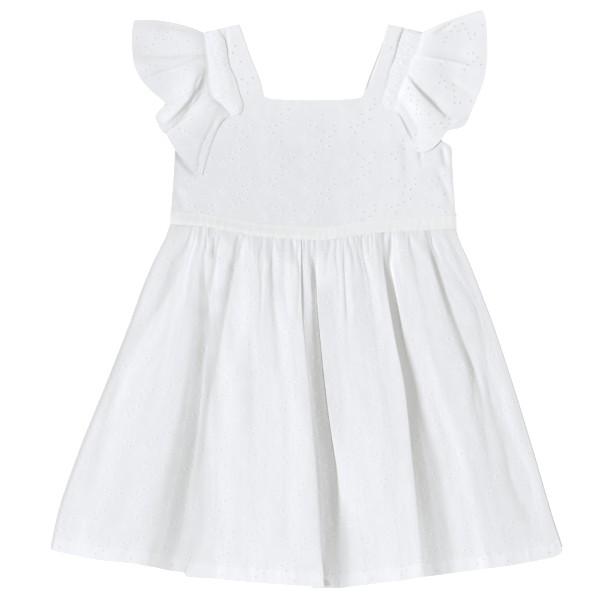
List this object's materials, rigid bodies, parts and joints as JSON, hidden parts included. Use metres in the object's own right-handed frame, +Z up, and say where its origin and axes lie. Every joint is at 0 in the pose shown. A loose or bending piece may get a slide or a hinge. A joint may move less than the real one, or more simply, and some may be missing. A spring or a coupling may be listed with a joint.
{
  "type": "toddler dress laid flat",
  "caption": "White eyelet cotton toddler dress laid flat: square neck, wide straps with gathered flutter sleeves, waistband and a full gathered skirt.",
  "frame": {"origin": "middle of the footprint, on the surface that the dress lies on", "axes": "+Y towards the neck, +X to the right seen from the front, +Z up out of the front of the dress"},
  "size_m": [0.4871, 0.5503, 0.0141],
  "materials": {
    "eyelet_cotton": "white cotton with small eyelet embroidery, matt",
    "doubled_cotton": "white cotton doubled over seam allowances, matt, slightly creamier"
  },
  "bodies": {
    "root": {"bodice_front": "eyelet_cotton", "bodice_back": "eyelet_cotton", "skirt_front": "eyelet_cotton", "skirt_back": "eyelet_cotton", "sleeve_left": "eyelet_cotton", "sleeve_right": "eyelet_cotton", "waistband_front": "doubled_cotton", "waistband_back": "doubled_cotton"}
  },
  "joints": []
}
